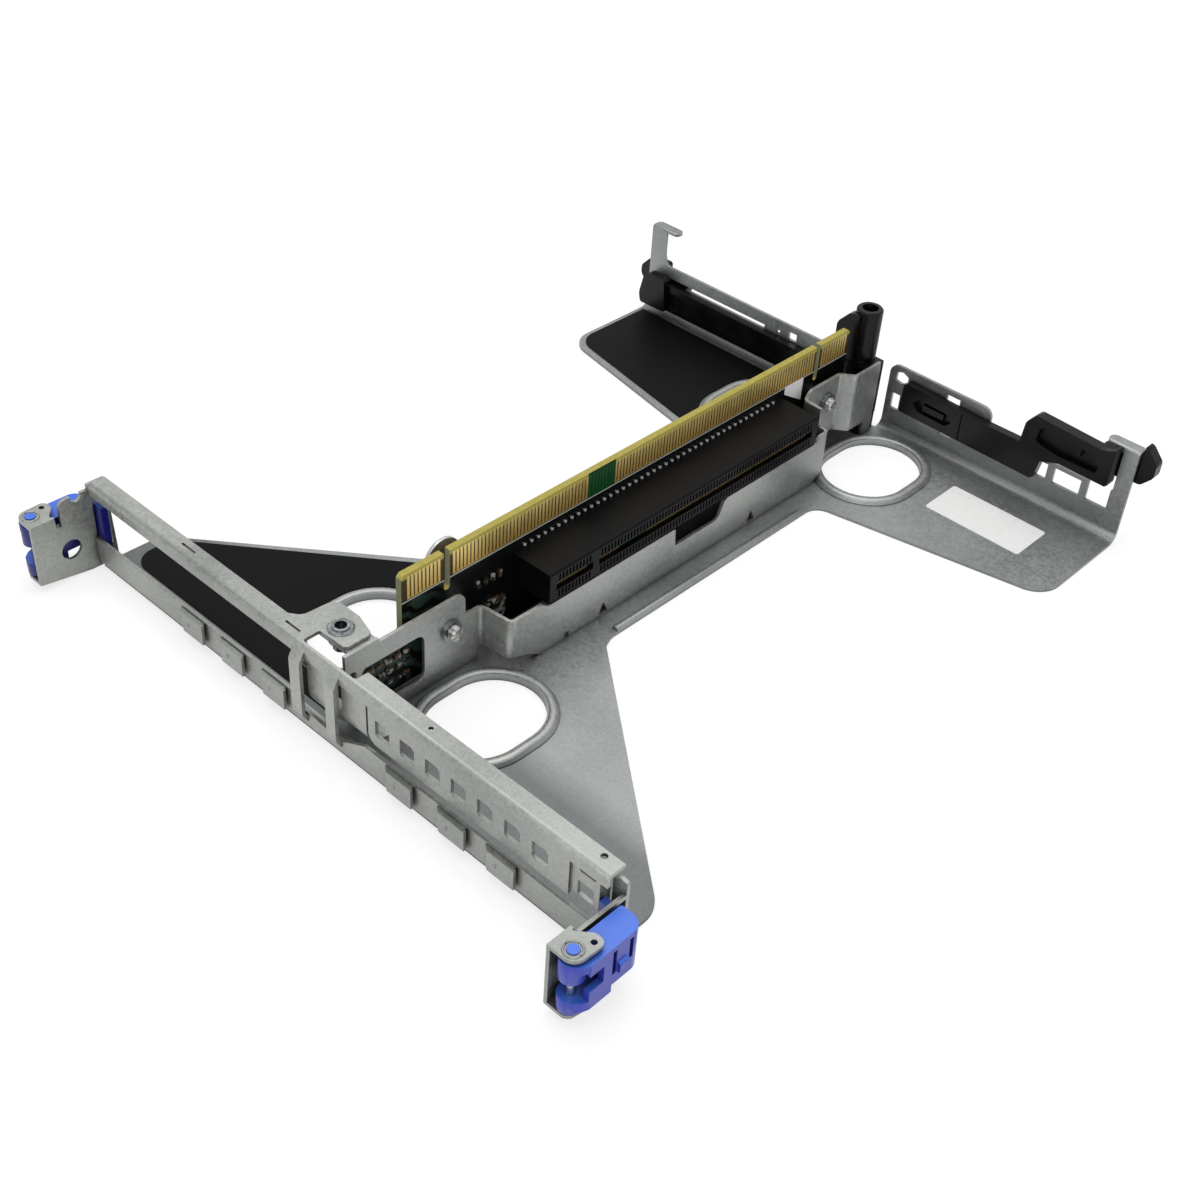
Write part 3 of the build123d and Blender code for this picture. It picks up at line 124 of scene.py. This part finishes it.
def galvanised_steel(name, dark, light, roll_axis=1, frame_shadow=0.0):
    """Zinc-coated sheet, rolled then folded.

    Zinc crystals 0.7 mm across give a fine grey mottle and the dip leaves faint clouds 25 mm wide.
    Painted shade darkens the corners where sheets meet, also standing for the dirt there, and
    deep hollows are darkened as painted shade. The roll's lines are finer than the render can
    show, so they are drawn 0.3 mm wide and 12 mm long. A painted shadow can be laid on the part
    that the bracket frame shades.
    """
    material, tree, shader, place = new_material(name)
    grain = add_node(
        tree,
        "TexNoise",
        {"Vector": place, "Scale": scale_for(0.5), "Detail": 2.0, "Roughness": 0.7},
    )["Fac"]
    crystals = add_node(tree, "TexVoronoi", {"Vector": place, "Scale": scale_for(0.7)})["Color"]
    crystal = add_node(tree, "SeparateColor", [crystals])["Red"]
    cloud = add_node(
        tree,
        "TexNoise",
        {"Vector": place, "Scale": scale_for(25), "Detail": 1.0, "Roughness": 0.5},
    )["Fac"]
    fine = add_node(tree, "Mix", {0: 0.3, 2: grain, 3: crystal}, data_type="FLOAT")[0]
    mottle = add_node(tree, "Mix", {0: 0.5, 2: cloud, 3: fine}, data_type="FLOAT")[0]
    mottle = add_node(tree, "MapRange", [mottle, *NOISE_SPAN])[0]
    greys = {0: mottle, 6: linear(dark), 7: linear(light)}
    colour = add_node(tree, "Mix", greys, data_type="RGBA")[2]
    # Painted shade: deep hollows, up to 14 mm across, are darkened towards a dull grey.
    hollow = add_node(tree, "AmbientOcclusion", {"Distance": 14 * MM}, samples=6)["AO"]
    shade = add_node(tree, "MapRange", [hollow, 0.05, 0.6, 0.6, 0.0])[0]
    painted_shade = {0: shade, 6: colour, 7: linear(PAINTED_SHADE_ZINC)}
    colour = add_node(tree, "Mix", painted_shade, data_type="RGBA")[2]
    # Painted shadow: the plate darkens along Y where the bracket frame's rail keeps the light off.
    if frame_shadow:
        along = add_node(tree, "SeparateXYZ", [place])["Y"]
        ends = [y * MM for y in FRAME_SHADOW_Y]
        shade = add_node(tree, "MapRange", [along, *ends, 0.0, frame_shadow])[0]
        painted_shade = {0: shade, 6: colour, 7: linear(PAINTED_SHADE_ZINC)}
        colour = add_node(tree, "Mix", painted_shade, data_type="RGBA")[2]
    # Painted shade in the corners where sheets meet, also standing for the dirt that sits there.
    corner = add_node(tree, "AmbientOcclusion", {"Distance": 1.6 * MM}, samples=4)["AO"]
    dirt_and_shade = add_node(tree, "MapRange", [corner, 0.2, 0.85, 0.75, 0.0])[0]
    dirt_and_shade_mix = {0: dirt_and_shade, 6: colour, 7: linear("#262728")}
    colour = add_node(tree, "Mix", dirt_and_shade_mix, data_type="RGBA")[2]
    stretch = [scale_for(0.3)] * 3
    stretch[roll_axis] = scale_for(12)
    drawn = add_node(tree, "Mapping", {"Vector": place, "Scale": stretch})["Vector"]
    rolling = add_node(tree, "TexNoise", {"Vector": drawn, "Scale": 1.0, "Detail": 2.0})["Fac"]
    rough = add_node(tree, "Mix", {0: 0.5, 2: crystal, 3: rolling}, data_type="FLOAT")[0]
    rough = add_node(tree, "MapRange", [rough, 0.2, 0.8, 0.4, 0.56])[0]
    relief = {"Height": fine, "Strength": 0.2, "Distance": 0.02 * MM}
    bump = add_node(tree, "Bump", relief)["Normal"]
    finish = {"Base Color": colour, "Metallic": 0.85, "Roughness": rough, "Normal": bump}
    fill(tree, shader, finish)
    return material


def polyester_film(name):
    """Black polyester film, calendered: nearly smooth, with a faint haze and specks of dust."""
    material, tree, shader, place = new_material(name)
    haze = add_node(
        tree, "TexNoise", {"Vector": place, "Scale": scale_for(14), "Detail": 3.0}
    )["Fac"]
    blacks = {0: haze, 6: linear("#060607"), 7: linear("#0b0b0c")}
    colour = add_node(tree, "Mix", blacks, data_type="RGBA")[2]
    dust = add_node(tree, "TexVoronoi", {"Vector": place, "Scale": scale_for(9)})["Distance"]
    speck = add_node(tree, "MapRange", [dust, 0.035, 0.02])[0]
    dusty = {0: speck, 6: colour, 7: linear("#8a8a86")}
    colour = add_node(tree, "Mix", dusty, data_type="RGBA")[2]
    rough = add_node(tree, "MapRange", [haze, *NOISE_SPAN, 0.42, 0.55])[0]
    finish = {"Base Color": colour, "Roughness": rough, "Specular IOR Level": 0.08}
    fill(tree, shader, finish)
    return material


def moulded_nylon(name, shade, worn_shade, grain_size, roughness, shine):
    """Black glass-filled nylon, moulded: spark-eroded grain, greyer rubbed patches 7 mm wide.

    The real grain is finer than the render can show, so it is drawn as coarse as it needs.
    """
    material, tree, shader, place = new_material(name)
    rub = add_node(
        tree, "TexNoise", {"Vector": place, "Scale": scale_for(7), "Detail": 4.0}
    )["Fac"]
    worn = add_node(tree, "MapRange", [rub, 0.45, 0.8])[0]
    blacks = {0: worn, 6: linear(shade), 7: linear(worn_shade)}
    colour = add_node(tree, "Mix", blacks, data_type="RGBA")[2]
    low, high = roughness - 0.06, roughness + 0.08
    rough = add_node(tree, "MapRange", [rub, *NOISE_SPAN, low, high])[0]
    grain = add_node(
        tree, "TexNoise", {"Vector": place, "Scale": scale_for(grain_size), "Detail": 2.0}
    )["Fac"]
    relief = {"Height": grain, "Strength": 0.25, "Distance": 0.03 * MM}
    bump = add_node(tree, "Bump", relief)["Normal"]
    finish = {"Base Color": colour, "Roughness": rough, "Normal": bump}
    fill(tree, shader, {**finish, "Specular IOR Level": shine})
    return material


def blue_acetal(name, side):
    """Blue acetal, moulded: a waxy gloss and faint flow clouds 5 mm wide.

    Upright faces get a deeper painted shade, and painted navy shade lies where no light gets in.
    """
    material, tree, shader, place = new_material(name)
    flow = add_node(
        tree, "TexNoise", {"Vector": place, "Scale": scale_for(5), "Detail": 3.0}
    )["Fac"]
    blues = {0: flow, 6: linear("#3f70e4"), 7: linear("#4f80f0")}
    top = add_node(tree, "Mix", blues, data_type="RGBA")[2]
    # Painted light: upward faces take the lit blue, upright faces the side colour as painted shade.
    facing = add_node(tree, "TexCoord")["Normal"]
    lit_upward = add_node(tree, "SeparateXYZ", [facing])["Z"]
    lit_upward = add_node(tree, "MapRange", [lit_upward, 0.2, 0.8])[0]
    colour = add_node(tree, "Mix", {0: lit_upward, 6: linear(side), 7: top}, data_type="RGBA")[2]
    corner = add_node(tree, "AmbientOcclusion", {"Distance": 9 * MM}, samples=4)["AO"]
    shade = add_node(tree, "MapRange", [corner, 0.15, 0.75, 0.9, 0.0])[0]
    shaded = {0: shade, 6: colour, 7: linear("#10124a")}
    colour = add_node(tree, "Mix", shaded, data_type="RGBA")[2]
    rough = add_node(tree, "MapRange", [flow, *NOISE_SPAN, 0.26, 0.36])[0]
    fill(tree, shader, {"Base Color": colour, "Roughness": rough, "IOR": 1.48})
    return material


def plated_steel(name, dark, light):
    """Nickel or zinc plating on turned steel: bright, with duller spots 1.2 mm wide."""
    material, tree, shader, place = new_material(name)
    spots = add_node(
        tree, "TexNoise", {"Vector": place, "Scale": scale_for(1.2), "Detail": 4.0}
    )["Fac"]
    bright = add_node(tree, "MapRange", [spots, 0.35, 0.65])[0]
    greys = {0: bright, 6: linear(dark), 7: linear(light)}
    colour = add_node(tree, "Mix", greys, data_type="RGBA")[2]
    rough = add_node(tree, "MapRange", [spots, *NOISE_SPAN, 0.2, 0.36])[0]
    fill(tree, shader, {"Base Color": colour, "Metallic": 1.0, "Roughness": rough})
    return material


def under_patch(tree, along):
    """1 where green mask covers the finger places, by the place along the board, else 0."""
    edges = [[(y - PATCH_SOFT) * MM, (y + PATCH_SOFT) * MM] for y in PATCH_Y]
    start = add_node(tree, "MapRange", [along, *edges[0]])[0]
    end = add_node(tree, "MapRange", [along, *edges[1], 1.0, 0.0])[0]
    return add_node(tree, "Math", [start, end], operation="MULTIPLY")[0]


def gold_plating(name):
    """Hard gold on copper, plated: bright at the finger tips and browner at their roots.

    Wipe lines 6 mm long run up the fingers from being plugged in. They are finer than the render
    can show, so they are drawn 0.25 mm wide. A few fingers lie under green mask.
    """
    material, tree, shader, place = new_material(name)
    stretch = (1.0, scale_for(0.25), scale_for(6))
    drawn = add_node(tree, "Mapping", {"Vector": place, "Scale": stretch})["Vector"]
    wipes = add_node(tree, "TexNoise", {"Vector": drawn, "Scale": 1.0, "Detail": 3.0})["Fac"]
    tips = {0: wipes, 6: linear("#efcb62"), 7: linear("#fff0ae")}
    tip = add_node(tree, "Mix", tips, data_type="RGBA")[2]
    roots = {0: wipes, 6: linear("#dcab4c"), 7: linear("#f8da8a")}
    root = add_node(tree, "Mix", roots, data_type="RGBA")[2]
    where = add_node(tree, "SeparateXYZ", [place])
    raised = add_node(tree, "MapRange", [where["Z"], *[z * MM for z in FINGER_Z]])[0]
    colour = add_node(tree, "Mix", {0: raised, 6: root, 7: tip}, data_type="RGBA")[2]
    masked = under_patch(tree, where["Y"])
    patched = {0: masked, 6: colour, 7: linear("#0f4a22")}
    colour = add_node(tree, "Mix", patched, data_type="RGBA")[2]
    metal = add_node(tree, "MapRange", [masked, 0.0, 1.0, 0.7, 0.0])[0]
    rough = add_node(tree, "MapRange", [wipes, *NOISE_SPAN, 0.25, 0.42])[0]
    fill(tree, shader, {"Base Color": colour, "Metallic": metal, "Roughness": rough})
    return material


def board_laminate(name):
    """Glass-epoxy board: near-black green solder mask over copper, straw-coloured bare laminate.

    The mask is greenest at the finger end, in patches some 5 mm wide, broken by wavering slanted
    bands of copper under it. A printed line stands just under the fingers. The laminate is bare
    above that line, with a weave 0.5 mm wide, and browner between the fingers. Its cut edges carry
    painted light: yellow and lighter on the upper edge as if lit, greyer and darker on the upright
    edges as painted shade.
    """
    material, tree, shader, place = new_material(name)
    where = add_node(tree, "SeparateXYZ", [place])
    facing = add_node(tree, "TexCoord")["Normal"]
    faced_to = add_node(tree, "SeparateXYZ", [facing])
    flat = add_node(tree, "Math", [faced_to["X"]], operation="ABSOLUTE")[0]

    bands = add_node(
        tree,
        "TexWave",
        {
            "Vector": place,
            "Scale": scale_for(10),
            "Distortion": 9.0,
            "Detail": 3.0,
            "Detail Scale": 1.6,
        },
        wave_type="BANDS",
        bands_direction="DIAGONAL",
    )["Fac"]
    patches = add_node(
        tree, "TexNoise", {"Vector": place, "Scale": scale_for(5), "Detail": 3.0}
    )["Fac"]
    front = add_node(tree, "MapRange", [where["Y"], *[y * MM for y in GREEN_Y]])[0]
    greens = {0: front, 6: linear("#0e1210"), 7: linear("#34463c")}
    green = add_node(tree, "Mix", greens, data_type="RGBA")[2]
    shown = add_node(tree, "Math", [patches, bands], operation="MULTIPLY")[0]
    shown = add_node(tree, "MapRange", [shown, 0.12, 0.42])[0]
    mask = add_node(tree, "Mix", {0: shown, 6: linear("#0a0c0b"), 7: green}, data_type="RGBA")[2]

    foot = add_node(tree, "MapRange", [where["Z"], *[z * MM for z in PRINT_FOOT_Z]])[0]
    top = add_node(tree, "MapRange", [where["Z"], *[z * MM for z in PRINT_TOP_Z], 1.0, 0.0])[0]
    line = add_node(tree, "Math", [foot, top], operation="MULTIPLY")[0]
    printed = {0: line, 6: mask, 7: linear("#cfd2ca")}
    faces = add_node(tree, "Mix", printed, data_type="RGBA")[2]

    weave = add_node(
        tree, "TexNoise", {"Vector": place, "Scale": scale_for(0.5), "Detail": 2.0}
    )["Fac"]
    yellows = {0: weave, 6: linear("#94893a"), 7: linear("#cbbd62")}
    straw = add_node(tree, "Mix", yellows, data_type="RGBA")[2]
    greys = {0: weave, 6: linear("#6f7352"), 7: linear("#9a9c7a")}
    shaded_grey_edge = add_node(tree, "Mix", greys, data_type="RGBA")[2]
    browns = {0: weave, 6: linear("#2c1f08"), 7: linear("#4a3812")}
    between = add_node(tree, "Mix", browns, data_type="RGBA")[2]

    over_fingers = add_node(tree, "MapRange", [where["Z"], *[z * MM for z in BOARD_EDGE_Z]])[0]
    bare = add_node(tree, "Mix", {0: over_fingers, 6: between, 7: straw}, data_type="RGBA")[2]
    patched = {0: under_patch(tree, where["Y"]), 6: bare, 7: linear("#0a3a1a")}
    bare = add_node(tree, "Mix", patched, data_type="RGBA")[2]
    unmasked = add_node(tree, "MapRange", [where["Z"], *[z * MM for z in BARE_Z]])[0]
    faces = add_node(tree, "Mix", {0: unmasked, 6: faces, 7: bare}, data_type="RGBA")[2]
    # Painted light: upward edges take the lit straw, upright edges the greyer painted shade.
    lit_upward = add_node(tree, "MapRange", [faced_to["Z"], 0.3, 0.8])[0]
    edges = add_node(tree, "Mix", {0: lit_upward, 6: shaded_grey_edge, 7: straw}, data_type="RGBA")[2]
    broad = add_node(tree, "MapRange", [flat, 0.4, 0.6])[0]
    colour = add_node(tree, "Mix", {0: broad, 6: edges, 7: faces}, data_type="RGBA")[2]

    rough = add_node(tree, "MapRange", [flat, 0.4, 0.6, 0.6, 0.28])[0]
    relief = {"Height": bands, "Strength": 0.3, "Distance": 0.03 * MM}
    bump = add_node(tree, "Bump", relief)["Normal"]
    finish = {"Base Color": colour, "Roughness": rough, "Normal": bump}
    fill(tree, shader, {**finish, "Specular IOR Level": 0.3})
    return material


def solder_coat(name):
    """Tin solder, dipped: white and uneven over 0.6 mm, with dark flux left on the tips."""
    material, tree, shader, place = new_material(name)
    skin = add_node(
        tree, "TexNoise", {"Vector": place, "Scale": scale_for(0.6), "Detail": 3.0}
    )["Fac"]
    whites = {0: skin, 6: linear("#c8c9c7"), 7: linear("#f2f2ef")}
    tin = add_node(tree, "Mix", whites, data_type="RGBA")[2]
    height = add_node(tree, "SeparateXYZ", [place])["Z"]
    flux = add_node(tree, "MapRange", [height, *[z * MM for z in FLUX_Z]])[0]
    colour = add_node(tree, "Mix", {0: flux, 6: tin, 7: linear("#161716")}, data_type="RGBA")[2]
    rough = add_node(tree, "MapRange", [skin, *NOISE_SPAN, 0.25, 0.45])[0]
    fill(tree, shader, {"Base Color": colour, "Metallic": 0.25, "Roughness": rough})
    return material


def ceramic_parts(name):
    """Fired ceramic and moulded chips: brown and near-black bodies with tinned spots of 0.8 mm."""
    material, tree, shader, place = new_material(name)
    spots = add_node(tree, "TexVoronoi", {"Vector": place, "Scale": scale_for(0.8)})["Color"]
    pick = add_node(tree, "SeparateColor", [spots])
    black = add_node(tree, "MapRange", [pick["Red"], 0.45, 0.55])[0]
    bodies = {0: black, 6: linear("#5a4630"), 7: linear("#131415")}
    body = add_node(tree, "Mix", bodies, data_type="RGBA")[2]
    tinned = add_node(tree, "MapRange", [pick["Green"], 0.72, 0.78])[0]
    ends = {0: tinned, 6: body, 7: linear("#a4a5a3")}
    colour = add_node(tree, "Mix", ends, data_type="RGBA")[2]
    rough = add_node(tree, "MapRange", [pick["Blue"], 0.0, 1.0, 0.3, 0.55])[0]
    fill(tree, shader, {"Base Color": colour, "Roughness": rough})
    return material


def label_paper(name):
    """Coated label paper, die-cut: matt white with a faint fibre mottle 1.5 mm wide."""
    material, tree, shader, place = new_material(name)
    fibre = add_node(
        tree, "TexNoise", {"Vector": place, "Scale": scale_for(1.5), "Detail": 5.0}
    )["Fac"]
    whites = {0: fibre, 6: linear("#f0f0ee"), 7: linear("#ffffff")}
    colour = add_node(tree, "Mix", whites, data_type="RGBA")[2]
    rough = add_node(tree, "MapRange", [fibre, *NOISE_SPAN, 0.5, 0.62])[0]
    fill(tree, shader, {"Base Color": colour, "Roughness": rough})
    return material


# The plate carries a painted shadow behind the bracket frame.
plate_steel = galvanised_steel("galvanised_plate", "#868989", "#a6a9a8", frame_shadow=0.6)
frame_steel = galvanised_steel("galvanised_frame", "#888b88", "#b0b2ad", roll_axis=0)
wall_steel = galvanised_steel("galvanised_wall", "#8e9190", "#b6b8b5")
# Painted light: the stay gets a lighter copy of the galvanised grey than the other sheets.
stay_steel_painted_light = galvanised_steel("galvanised_stay", "#b4b6b4", "#d6d8d6")
black_film = polyester_film("polyester_film")
black_nylon = moulded_nylon("black_nylon", "#050506", "#0e0e10", 0.35, 0.3, 0.25)
black_connector = moulded_nylon("black_connector_nylon", "#060607", "#0d0d0f", 0.25, 0.42, 0.12)
bright_nickel = plated_steel("nickel_plate", "#9c9d9c", "#e0e0dc")
dull_zinc = plated_steel("zinc_plate", "#7c7f82", "#a2a5a8")
gold = gold_plating("hard_gold")
solder = solder_coat("tin_solder")
paper = label_paper("coated_paper")

FINISH = {
    "base_plate": plate_steel,
    "slot_wall": wall_steel,
    "io_frame": frame_steel,
    "slot_blank": frame_steel,
    "left_stay": stay_steel_painted_light,
    "front_left_film": black_film,
    "rear_left_film": black_film,
    "wall_rivets": dull_zinc,
    "frame_rivets": dull_zinc,
    # The second colour is the painted shade of upright faces; the left latch has a darker shaded
    # copy.
    "right_latch": blue_acetal("blue_acetal", "#2f3cae"),
    "left_latch": blue_acetal("blue_acetal_in_shade", "#181c70"),
    "right_latch_pin": bright_nickel,
    "left_latch_pin": bright_nickel,
    "riser_board": board_laminate("board_laminate"),
    "right_edge_fingers": gold,
    "left_edge_fingers": gold,
    "right_connector": black_connector,
    "left_connector": black_connector,
    "right_connector_contacts": gold,
    "left_connector_contacts": gold,
    "right_solder_pins": solder,
    "left_solder_pins": solder,
    "board_components": ceramic_parts("ceramic_parts"),
    "board_screws": bright_nickel,
    "board_standoffs": dull_zinc,
    "rivet_nut": dull_zinc,
    "guide_post": black_nylon,
    "right_retainer": black_nylon,
    "left_retainer": black_nylon,
    "part_label": paper,
    "board_label": paper,
}

SOFT_EDGES = {
    "base_plate": 0.12,
    "slot_wall": 0.12,
    "io_frame": 0.12,
    "slot_blank": 0.12,
    "left_stay": 0.12,
    "right_latch": 0.15,
    "left_latch": 0.15,
    "riser_board": 0.08,
    "right_connector": 0.06,
    "guide_post": 0.15,
    "right_retainer": 0.15,
    "left_retainer": 0.15,
}


def dress(node, material, edge_size):
    """Gives a CAD node its finish, and worn-down edges where it has an edge size."""
    piece = nodes[node]
    for place in piece.material_slots:
        place.material = material
    if edge_size:
        join = piece.modifiers.new("join", "WELD")
        join.merge_threshold = 0.001 * MM
        edges = piece.modifiers.new("edges", "BEVEL")
        edges.width = edge_size * MM
        edges.segments = 2
        edges.limit_method = "ANGLE"
        edges.angle_limit = radians(38)
        edges.harden_normals = True


for node, material in FINISH.items():
    dress(node, material, SOFT_EDGES.get(node, 0))


def cage_piece(name, parts, material):
    """One piece of several beads or rings, given in millimetres, that rides on the cage."""
    verts = []
    faces = []
    for more_verts, more_faces in parts:
        start = len(verts)
        verts += more_verts
        faces += [tuple(start + i for i in face) for face in more_faces]
    mesh = bpy.data.meshes.new(name)
    mesh.from_pydata([[c * MM for c in v] for v in verts], [], faces)
    mesh.update()
    mesh.materials.append(material)
    for face in mesh.polygons:
        face.use_smooth = True
    piece = bpy.data.objects.new(name, mesh)
    bpy.context.collection.objects.link(piece)
    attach(piece, "cage")


def bead(path, radius, sides=10, flat=1.0):
    """The points and faces of a closed round bead that follows a level path."""
    verts = []
    faces = []
    count = len(path)
    for i, here in enumerate(path):
        after = (i + 1) % count
        ahead = Vector(path[after]) - Vector(path[i - 1])
        across = Vector((ahead.y, -ahead.x, 0)).normalized()
        for k in range(sides):
            turn = 2 * pi * k / sides
            out = radius * cos(turn)
            up = radius * flat * sin(turn)
            verts.append((here[0] + across.x * out, here[1] + across.y * out, here[2] + up))
            step = (k + 1) % sides
            faces.append((i * sides + k, i * sides + step, after * sides + step, after * sides + k))
    return verts, faces


def oval(x, y, z, width, length, steps=24):
    """A level oval of straight sides and round ends, its length along Y."""
    r = width / 2
    run = length / 2 - r
    points = []
    for side in (1, -1):
        for i in range(steps + 1):
            turn = pi * i / steps
            points.append((x + side * r * cos(turn), y + side * (run + r * sin(turn)), z))
    return points


def ring_beads():
    """The rounded crest of the rolled bead round each finger ring."""
    beads = []
    width = RING_W + 2 * BEAD_MID
    length = RING_L + 2 * BEAD_MID
    for side in (1, -1):
        for y in RING_YS:
            path = oval(side * RING_X, y + BOARD_END_Y, PLATE_TOP_Z + BEAD_Z, width, length)
            beads.append(bead(path, BEAD_R, flat=BEAD_FLAT))
    cage_piece("ring_bead_crests", beads, wall_steel)


def pivot_rims():
    """The raised ring pressed round each latch pivot in the upper lugs."""
    rims = []
    for side in (1, -1):
        path = oval(side * PIVOT_X, PIVOT_Y + BOARD_END_Y, PLATE_TOP_Z + LUG_TOP, RIM_D, RIM_D, 12)
        rims.append(bead(path, RIM_R, 6))
    cage_piece("pivot_rims", rims, wall_steel)


def screw_threads():
    """The last turns of thread on the two board screws, standing out of their clinch nuts."""
    turns = []
    verts, faces = bead(oval(0, 0, 0, THREAD_D, THREAD_D, 10), THREAD_R, 6)
    for y, z in SCREWS_YZ:
        for i in range(THREAD_TURNS):
            x = THREAD_X + THREAD_PITCH * i
            turn = [(x + v[2], y + BOARD_END_Y + v[0], z + PLATE_TOP_Z + v[1]) for v in verts]
            turns.append((turn, faces))
    cage_piece("screw_threads", turns, bright_nickel)


ring_beads()
pivot_rims()
screw_threads()


def looked_at(tree):
    """1 where the camera, a mirror or glass looks, else 0."""
    ray = add_node(tree, "LightPath")
    eyes = [ray["Is Camera Ray"], ray["Is Glossy Ray"]]
    eye = add_node(tree, "Math", eyes, operation="MAXIMUM")[0]
    return add_node(tree, "Math", [eye, ray["Is Transmission Ray"]], operation="MAXIMUM")[0]


def white_floor():
    """Plain pale floor under the part, white where it is looked at, that keeps its shadow."""
    bpy.ops.mesh.primitive_plane_add(size=FLOOR_SIZE * MM, location=(0, 0, -FLOOR_DROP * MM))
    floor = bpy.context.object
    floor.name = "floor"
    material = bpy.data.materials.new("white_floor")
    material.use_nodes = True
    tree = material.node_tree
    tree.nodes.clear()
    matt = add_node(tree, "BsdfDiffuse", {"Color": (0.8, 0.8, 0.8, 1)})[0]
    pale = add_node(tree, "BsdfDiffuse", {"Color": (0.42, 0.42, 0.42, 1)})[0]
    glow = add_node(tree, "Emission", {"Color": (1, 1, 1, 1), "Strength": 0.68})[0]
    bright = add_node(tree, "AddShader", [pale, glow])[0]
    both = add_node(tree, "MixShader", [looked_at(tree), matt, bright])[0]
    add_node(tree, "OutputMaterial", {"Surface": both})
    floor.data.materials.append(material)


def white_world():
    """Plain soft light all round, pure white where it is looked at."""
    world = bpy.data.worlds.new("studio")
    bpy.context.scene.world = world
    world.use_nodes = True
    tree = world.node_tree
    tree.nodes.clear()
    level = add_node(tree, "MapRange", [looked_at(tree), 0.0, 1.0, 0.55, 1.0])[0]
    light = add_node(tree, "Background", {"Strength": level})[0]
    add_node(tree, "OutputWorld", {"Surface": light})


def softbox(name, place, width, height, watts):
    """A rectangular studio lamp aimed at the part, its place and size in metres."""
    lamp = bpy.data.lights.new(name, "AREA")
    lamp.shape = "RECTANGLE"
    lamp.size = width
    lamp.size_y = height
    lamp.energy = watts
    piece = bpy.data.objects.new(name, lamp)
    bpy.context.collection.objects.link(piece)
    piece.location = place
    piece.rotation_euler = (-Vector(place)).to_track_quat("-Z", "Y").to_euler()


def photo_camera():
    """The camera where the photograph's perspective puts it, with its slight roll."""
    azimuth, elevation, roll = radians(40.8), radians(38.86), radians(4.2)
    place = [c * MM for c in (192.2, -226.1, 228.5)]
    right = Vector((cos(azimuth), sin(azimuth), 0))
    back = Vector((sin(azimuth) * cos(elevation), -cos(azimuth) * cos(elevation), sin(elevation)))
    up = back.cross(right)
    tilted_right = right * cos(roll) + up * sin(roll)
    tilted_up = up * cos(roll) - right * sin(roll)
    lens = bpy.data.cameras.new("camera")
    lens.sensor_width = 36.0
    lens.lens = 50.07
    lens.clip_start = 0.01
    camera = bpy.data.objects.new("camera", lens)
    bpy.context.collection.objects.link(camera)
    axes = Matrix((tilted_right, tilted_up, back)).transposed().to_4x4()
    camera.matrix_world = Matrix.Translation(place) @ axes
    bpy.context.scene.camera = camera


white_floor()
white_world()
softbox("overhead", (-0.15, 0.1, 0.75), 0.7, 0.7, 3.0)
softbox("front_fill", (0.45, -0.6, 0.35), 0.5, 0.4, 2.0)
photo_camera()
bpy.context.scene.view_settings.view_transform = "Standard"
